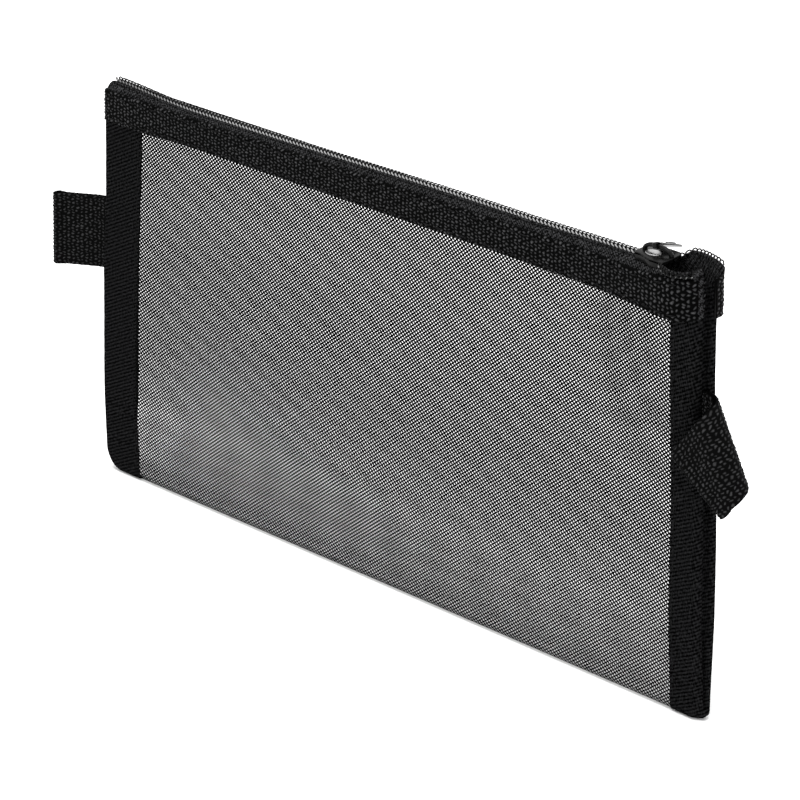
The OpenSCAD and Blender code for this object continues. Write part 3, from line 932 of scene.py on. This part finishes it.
def build_slider_plate():
    """Bright plate on the slider's top wing, with a black disc on it as a painted reflection of the arch."""
    top = slider_high[2]
    plate_at, plate_half, plate_t = np.array([SLIDER_X - 0.6, -0.65]), np.array([2.1, 1.7]), 0.2
    angle = np.radians(np.arange(0, 360, 12))
    rim = np.stack([np.cos(angle), np.sin(angle)], axis=-1)
    plate = Builder()
    plate.add(*prism(plate_at + plate_half * rim, top - 0.1, top + plate_t))
    obj = plate.piece("slider_plate", NICKEL, "pull_metal", body="slider")
    bevel(obj, 0.08)
    # Painted reflection: a black disc where the arch's dark reflection lies on the plate
    arch_reflection = Builder()
    arch_reflection.add(*prism(plate_at + np.array([0.0, -0.85]) + 0.35 * rim, top, top + plate_t + 0.06))
    arch_reflection.piece("slider_arch_reflection", PAINT, "slider_paint", body="slider")


def build_pull():
    """Pull tab: a black eye round the arch and a metal blade with a boss, lying back a little askew."""
    hinge = joint_at["pull_swing"]
    length, width, plate = 8.7, 4.2, 0.5
    eye_r, eye_w, eye_low, eye_half = 1.15, 1.2, 0.7, 0.75
    tilt = (-23, -17, 3)
    turn = np.array(Euler([math.radians(angle) for angle in tilt], "XYZ").to_matrix())

    def swung(points):
        """Points turned with the pull and set at its hinge."""
        return np.asarray(points, float).reshape(-1, 3) @ turn.T + hinge

    a = np.linspace(0, 2 * np.pi, 29)[:-1]
    ring = np.stack([0 * a, eye_r * np.cos(a), eye_half * np.sin(a)], axis=-1)
    points, faces = sweep(ring, unit(ring), rounded_box(0.32, eye_w, 0.15), closed=True)
    points = points - np.array([0, 0, eye_low])
    eye = Builder()
    eye.add(swung(points), faces)
    eye.piece("pull_eye", PAINT, "slider_paint", body="pull")

    neck, neck_half, half = 2.8, eye_w / 2, width / 2
    half_turn = np.radians(np.linspace(0, 180, 15))
    tip = [(half * math.cos(b), length - half + half * math.sin(b)) for b in half_turn]
    right = [(neck_half, eye_r), (neck_half, neck), (half, neck + 0.9)]
    left = [(-x, y) for x, y in right[::-1]]
    blade, faces = prism(right + tip + left, -plate / 2, plate / 2)
    pull = Builder()
    pull.add(swung(blade), faces)
    boss = [(1.1 * math.cos(b), length * 0.62 + 1.6 * math.sin(b)) for b in np.radians(np.arange(0, 360, 20))]
    points, faces = prism(boss, plate / 2 - 0.05, plate / 2 + 0.45)
    pull.add(swung(points), faces)
    obj = pull.piece("pull_plate", GUNMETAL, "pull_metal", ["pull_tab"], body="pull")
    bevel(obj, 0.12)


# Loops

LOOP_LAYER = 0.6
LOOP_WEB_T = 0.9
EYE_LAYER = 1.25


def folded_web(length):
    """Distance along the loop and offset from its middle, out along one layer and back along the other."""
    run = np.arange(0, length - EYE_LAYER, WEB_STEP)
    spread = LOOP_LAYER + (EYE_LAYER - LOOP_LAYER) * ease(run, length - 4.5, length - EYE_LAYER - 0.2)
    turn = np.linspace(-np.pi / 2, np.pi / 2, 15)[1:-1]
    s = np.concatenate([run, length - EYE_LAYER - LOOP_WEB_T / 2 + EYE_LAYER * np.cos(turn), run[::-1]])
    offset = np.concatenate([-spread, EYE_LAYER * np.sin(turn), spread[::-1]])
    return s, offset


def web_ribbon(place, length, z_low, z_high):
    """A doubled webbing strip; place(s, offset, z) puts its points into space."""
    s, offset = folded_web(length)
    line = np.stack([s, offset], axis=-1)
    tangent = unit(np.gradient(line, axis=0))
    normal = np.stack([tangent[:, 1], -tangent[:, 0]], axis=-1)
    along = lengths_along(line)
    vs = np.linspace(z_low, z_high, int((z_high - z_low) / WEB_STEP) + 1)
    u, v = np.meshgrid(along, vs, indexing="ij")
    to_edge = np.minimum(v - z_low, z_high - v)
    edge_r = 0.35
    round_off = edge_rounding(to_edge, edge_r)
    height = grains(u, v - z_low)
    thick = LOOP_WEB_T / 2 - round_off + GRAIN_H * (height - 0.75)
    out = line[:, None] + normal[:, None] * thick[..., None]
    back = line[:, None] - normal[:, None] * (LOOP_WEB_T / 2 - round_off)[..., None]
    ring = np.concatenate([out, back[:, [-1, 0]]], axis=1)
    ring_v = np.concatenate([v, v[:, [-1, 0]]], axis=1)
    points = place(ring[..., 0], ring[..., 1], ring_v)
    # The loop's outer face carries the weave's height as painted light; its back carries none
    painted_light = np.concatenate([height, 0 * height[:, :2]], axis=1)
    return points, tube_faces(*ring.shape[:2]), painted_light


def woven_wall(plan, outward, z_low, z_high):
    """An upright solid over a closed outline seen from above, with the weave as bumps on its walls and its
    height given back as painted light.
    """
    along = lengths_along(plan)
    zs = np.linspace(z_low, z_high, int((z_high - z_low) / WEB_STEP) + 1)
    z, u = np.meshgrid(zs, along, indexing="ij")
    height = grains(u, z - z_low)
    xy = plan[None] + outward[None] * (GRAIN_H * (height - 0.75))[..., None]
    return np.concatenate([xy, z[..., None]], axis=-1), tube_faces(*z.shape), height


def build_left_loop():
    """Left loop: straight out of the side seam, then turned a little to the front."""
    root_x = -HALF_W + 2.4
    length = 19.5
    turn = math.radians(30)
    z_low, z_high = left_loop_low[2], left_loop_high[2] - 0.8
    bend_from, bend_to = 2.4, 6.4

    def place(s, offset, z):
        """Follows a heading that turns smoothly between two distances from the root."""
        rate = turn / (bend_to - bend_from)
        angle = rate * (np.clip(s, bend_from, bend_to) - bend_from)
        beyond = np.maximum(s - bend_to, 0)
        x = -np.minimum(s, bend_from) - np.sin(angle) / rate - beyond * math.cos(turn)
        y = -(1 - np.cos(angle)) / rate - beyond * math.sin(turn)
        x, y = x + offset * np.sin(angle), y - offset * np.cos(angle)
        return np.stack([root_x + x, y, z], axis=-1)

    loop = Builder()
    loop.add(*web_ribbon(place, length, z_low, z_high))
    nodes = ["left_loop_root", "left_loop"]
    obj = loop.piece("left_loop_webbing", LOOP_WEBBING, "webbing", nodes, body=None)
    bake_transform(obj)


def build_right_loop():
    """Right loop: out of the side seam, folded along a slanting crease and hanging over the front."""
    bend = joint_at["right_loop_bend"]
    z_low, z_high = right_root_low[2] + 2.0, right_root_high[2] + 0.2
    crease_start, crease_run, flap_y, length, lean = -3.4, 9.9, 6.9, 21.5, 0.1
    radius = flap_y / 2
    top = np.array([bend[0] + crease_start, z_high])
    crease = unit(np.array([crease_run, z_low - z_high]))
    across = np.array([-crease[1], crease[0]])

    def first(z):
        """Where the free part starts: at the bend, or at the crease where that comes before the bend."""
        return np.minimum(0, crease_start + crease_run * (z_high - z) / (z_high - z_low))

    def place(s, offset, z):
        """Wraps the flat strip round the crease; the offset is taken along the turning normal."""
        s = first(z) + s * (length - first(z)) / length
        flat = np.stack([bend[0] + s, z], axis=-1) - top
        along, past = flat @ crease, flat @ across
        angle = np.clip(past, 0, np.pi * radius) / radius
        beyond = np.maximum(past - np.pi * radius, 0)
        along, level = along + lean * beyond, np.minimum(past, 0) - beyond
        reach = level + (radius + offset) * np.sin(angle)
        y = -radius + (radius + offset) * np.cos(angle)
        xz = top + along[..., None] * crease + reach[..., None] * across
        return np.stack([xz[..., 0], y, xz[..., 1]], axis=-1)

    half = LOOP_LAYER + LOOP_WEB_T / 2
    knuckle = circle(half, 24)
    knuckle_top = z_high + crease_start / crease_run * (z_high - z_low)
    loop = Builder()
    loop.add(*web_ribbon(place, length, z_low, z_high))
    loop.add(*woven_wall(knuckle + bend[:2], unit(knuckle), z_low, knuckle_top))
    loop.piece("right_loop_webbing", LOOP_WEBBING, "webbing", ["right_loop"], body="right_loop")

    root_x = HALF_W - 4.0
    xs = np.arange(root_x, bend[0], WEB_STEP)
    front, back = np.stack([xs, 0 * xs - half], axis=-1), np.stack([xs[::-1], 0 * xs + half], axis=-1)
    plan = np.concatenate([front, back])
    points, faces, height = woven_wall(plan, np.sign(plan) * np.array([0.0, 1.0]), z_low, z_high)
    stretch = (bend[0] + first(points[..., 2]) - root_x) / (bend[0] - root_x)
    points[..., 0] = root_x + (points[..., 0] - root_x) * stretch
    root = Builder()
    root.add(points, faces, height)
    root.piece("right_loop_root_webbing", LOOP_WEBBING, "webbing", ["right_loop_root"], body="case")


# Sewing


def stitch(builder, middle, along, away):
    """One stitch: a short thread that dips into the cloth at both ends."""
    s = np.linspace(-1, 1, 7)
    lift = 0.12 - 0.3 * s**4
    path = middle + s[:, None] * STITCH_LENGTH / 2 * along + lift[:, None] * away
    builder.add(*sweep(path, away, circle(STITCH_R, 6), scale=1 - 0.35 * s**4))


def stitch_places(low, high):
    """Middles of the stitches in a row between two ends."""
    return np.arange(low + STITCH_LENGTH / 2, high - STITCH_LENGTH / 2, STITCH_PITCH)


def build_band_stitching(side):
    """Two rows of stitches along a band."""
    sunk, clear = 0.12, 3.0
    name = FACE_NAME[side]
    away = np.array([0, side, 0.0])

    def on_band(x, w):
        """Place just inside the band's face."""
        return np.array([x, side * (BAND_OUT - sunk + mouth(x)), band_height(x, w)])

    rows = Builder()
    for w in (BAND_ROW_EDGE, BAND_H - BAND_ROW_EDGE):
        for x in stitch_places(BAND_LEFT + clear, BAND_RIGHT[side] - clear):
            stitch(rows, on_band(x, w), unit(on_band(x + 1, w) - on_band(x - 1, w)), away)
    rows.piece(f"{name}_band_thread", THREAD, "thread", [f"{name}_band_stitching"])


def build_edge_stitching(end):
    """Rows of stitches on a side strip, front and back, and on the bound seam inside."""
    name = END_NAME[end]
    from_edge, sunk = 1.0, 0.06
    seam_x, seam_y = HALF_W - 5.7, 0.95
    z_axis = np.array([0, 0, 1.0])
    seam_low, seam_high = box_mm(f"{name}_seam_stitching")
    rows, inner = Builder(), Builder()
    for side, strip_x in ((-1, STRIP_X), (1, BACK_STRIP_X)):
        away = np.array([0, side, 0.0])
        for z in stitch_places(FOLD_H + 1, band_low[2] - 0.5):
            x = strip_x[end] + from_edge - STRIP_LEAN[end] * float(ease(z, *LEAN_Z))
            leg = 1 - (z - FOLD_H) / (CLOTH_TOP - FOLD_H)
            stitch(rows, sheet_point(end * x, leg if side < 0 else 5 - leg, sunk), z_axis, away)
        for z in stitch_places(seam_low[2], seam_high[2]):
            stitch(inner, np.array([end * seam_x, side * seam_y, z]), z_axis, away)
    rows.piece(f"{name}_strip_thread", THREAD, "thread", [f"{name}_strip_stitching"])
    inner.piece(f"{name}_seam_thread", THREAD, "thread", [f"{name}_seam_stitching"])


def build_binding(end):
    """Binding tape folded over the raw seam inside, with the small waves of sewn tape."""
    name = END_NAME[end]
    low, high = box_mm(f"{name}_seam_binding")
    zs = np.linspace(low[2], high[2], 90)
    a = np.radians(np.linspace(90, 270, 9))
    x_in = (HALF_W - high[0]) if end > 0 else (HALF_W + low[0])
    x_fold = (HALF_W - low[0]) if end > 0 else (HALF_W + high[0])
    half = 0.7
    path = [(x_in, half)] + [(x, half) for x in np.linspace(x_in + 0.6, x_fold - 1, 5)]
    path += [(x_fold - half + half * -math.cos(b), half * math.sin(b)) for b in a[1:-1]]
    path += [(x, -half) for x in np.linspace(x_fold - 1, x_in + 0.6, 5)] + [(x_in, -half)]
    path = np.array(path)
    wave = 0.12 * np.sin(zs * 1.9 + end) + 0.07 * np.sin(zs * 0.83)
    x = end * (HALF_W - path[None, :, 0] + wave[:, None] * (path[None, :, 0] - x_in) / 6)
    y = path[None, :, 1] * (1 + 0.08 * np.sin(zs * 2.3))[:, None]
    z = np.repeat(zs[:, None], len(path), axis=1)
    binding = Builder()
    binding.add(np.stack([x, y, z], axis=-1), grid_faces(len(zs), len(path)))
    obj = binding.piece(f"{name}_binding_cloth", TAPE, "strip_cloth", [f"{name}_seam_binding"])
    thicken(obj, 0.3)


# Floor, light and camera


def build_stage():
    """Pale floor, soft white surroundings and one large soft light overhead."""
    half, floor_drop = 6.0, 0.0003
    surroundings, sun, sun_spread, sun_tilt = 1.15, 2.5, 30, 8
    scene = bpy.context.scene
    corners = [(-half, -half, 0), (half, -half, 0), (half, half, 0), (-half, half, 0)]
    mesh = bpy.data.meshes.new("floor")
    mesh.from_pydata(corners, [], [(0, 1, 2, 3)])
    mesh.materials.append(floor_finish())
    floor = bpy.data.objects.new("floor", mesh)
    floor.location.z = -floor_drop
    scene.collection.objects.link(floor)

    scene.view_settings.view_transform = "Standard"
    world = bpy.data.worlds.new("studio")
    world.use_nodes = True
    background = world.node_tree.nodes["Background"]
    background.inputs["Color"].default_value = (1, 1, 1, 1)
    background.inputs["Strength"].default_value = surroundings
    scene.world = world

    lamp = bpy.data.lights.new("overhead_softbox", "SUN")
    lamp.energy = sun
    lamp.angle = math.radians(sun_spread)
    softbox = bpy.data.objects.new("overhead_softbox", lamp)
    softbox.rotation_euler = (math.radians(sun_tilt), 0, 0)
    scene.collection.objects.link(softbox)


def build_camera():
    """Camera of the photograph, found by fitting the case's corners."""
    data = bpy.data.cameras.new("camera")
    data.sensor_width = 36
    data.lens = 147.31
    data.clip_start = 0.01
    camera = bpy.data.objects.new("camera", data)
    camera.location = (0.51849, -0.58606, 0.42241)
    yaw, pitch, roll = (math.radians(angle) for angle in (41.275, 25.179, 0.638))
    facing = Euler((math.pi / 2 - pitch, 0, yaw)).to_matrix() @ Matrix.Rotation(roll, 3, "Z")
    camera.rotation_euler = facing.to_euler()
    bpy.context.scene.collection.objects.link(camera)
    bpy.context.scene.camera = camera


build_net()
for end in END_NAME:
    build_strip(end)
    build_binding(end)
for face in FACE_NAME:
    build_band(face)
    build_tape(face)
    build_coil(face)
build_slider()
build_arch()
build_slider_plate()
build_pull()
build_left_loop()
build_right_loop()
for face in FACE_NAME:
    build_band_stitching(face)
for end in END_NAME:
    build_edge_stitching(end)
build_stage()
build_camera()
